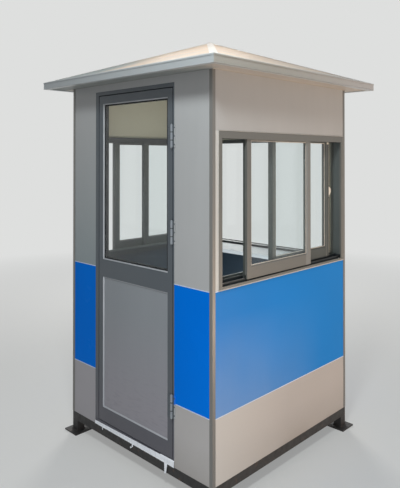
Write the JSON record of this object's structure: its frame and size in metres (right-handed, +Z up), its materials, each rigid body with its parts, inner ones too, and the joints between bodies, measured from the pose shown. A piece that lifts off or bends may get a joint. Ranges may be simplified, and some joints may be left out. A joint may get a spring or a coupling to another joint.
{
  "type": "security guard booth",
  "caption": "Square prefabricated guard booth on short legs, with a glazed hinged door, sliding side windows, a fixed back window, a blue band and a low pyramid roof.",
  "frame": {"origin": "on the ground under the middle of the roof and cabin", "axes": "+Z up; the door face looks along -Y; the face with the worktop's end and the open sliding window on the pictured corner looks along +X"},
  "size_m": [1.466, 1.506, 2.44],
  "materials": {
    "base_steel": "dark painted steel",
    "bead": "mill finish",
    "ceiling": "grey sheet",
    "cladding_blue": "glossy blue composite sheet",
    "cladding_foot": "satin light grey composite sheet",
    "cladding_grey": "satin light grey composite sheet",
    "corner_trim": "grey anodised angle",
    "door_metal": "dark grey powder coat",
    "fascia": "satin grey sheet",
    "floor": "grey vinyl on board",
    "glass": "clear",
    "hinge": "brushed",
    "kick_panel": "mid grey sheet",
    "latch": "satin",
    "roof": "gloss off-white sheet",
    "threshold": "under white protective film",
    "wall_lining": "khaki grey lining sheet",
    "window_metal": "dark grey powder coat",
    "worktop": "white laminate"
  },
  "bodies": {
    "booth": {"base_frame": "base_steel", "ceiling": "ceiling", "clad_back_band": "cladding_blue", "clad_back_lower": "cladding_foot", "clad_back_upper": "cladding_grey", "clad_front_band_left": "cladding_blue", "clad_front_band_right": "cladding_blue", "clad_front_lower_left": "cladding_foot", "clad_front_lower_right": "cladding_foot", "clad_front_upper": "cladding_grey", "clad_left_band": "cladding_blue", "clad_left_lower": "cladding_foot", "clad_left_upper": "cladding_grey", "clad_right_band": "cladding_blue", "clad_right_lower": "cladding_foot", "clad_right_upper": "cladding_grey", "corner_trim_back_left": "corner_trim", "corner_trim_back_right": "corner_trim", "corner_trim_front_left": "corner_trim", "corner_trim_front_right": "corner_trim", "door_frame": "door_metal", "fascia": "fascia", "floor_panel": "floor", "hinge_1_frame": "hinge", "hinge_2_frame": "hinge", "hinge_3_frame": "hinge", "latch_left": "latch", "latch_right": "latch", "leg_back_left": "base_steel", "leg_back_right": "base_steel", "leg_front_left": "base_steel", "leg_front_right": "base_steel", "pane_back": "glass", "pane_inner_left": "glass", "pane_inner_right": "glass", "pane_outer_left": "glass", "pane_outer_right": "glass", "roof": "roof", "sash_inner_left": "window_metal", "sash_inner_right": "window_metal", "sash_outer_left": "window_metal", "sash_outer_right": "window_metal", "threshold": "threshold", "wall_back": "wall_lining", "wall_front": "wall_lining", "wall_left": "wall_lining", "wall_right": "wall_lining", "window_frame_back": "window_metal", "window_frame_left": "window_metal", "window_frame_right": "window_metal", "worktop": "worktop"},
    "door": {"door_glass": "glass", "door_glass_bead": "bead", "door_kick_panel": "kick_panel", "door_kick_panel_bead": "bead", "door_leaf": "door_metal", "hinge_1_leaf": "hinge", "hinge_2_leaf": "hinge", "hinge_3_leaf": "hinge"}
  },
  "joints": [
    {"name": "door_hinge", "type": "hinge", "parent": "booth", "child": "door", "pos_m": [0.3185, -0.6278, 1], "axis": [0, 0, 1], "range_deg": [0, 110]}
  ]
}
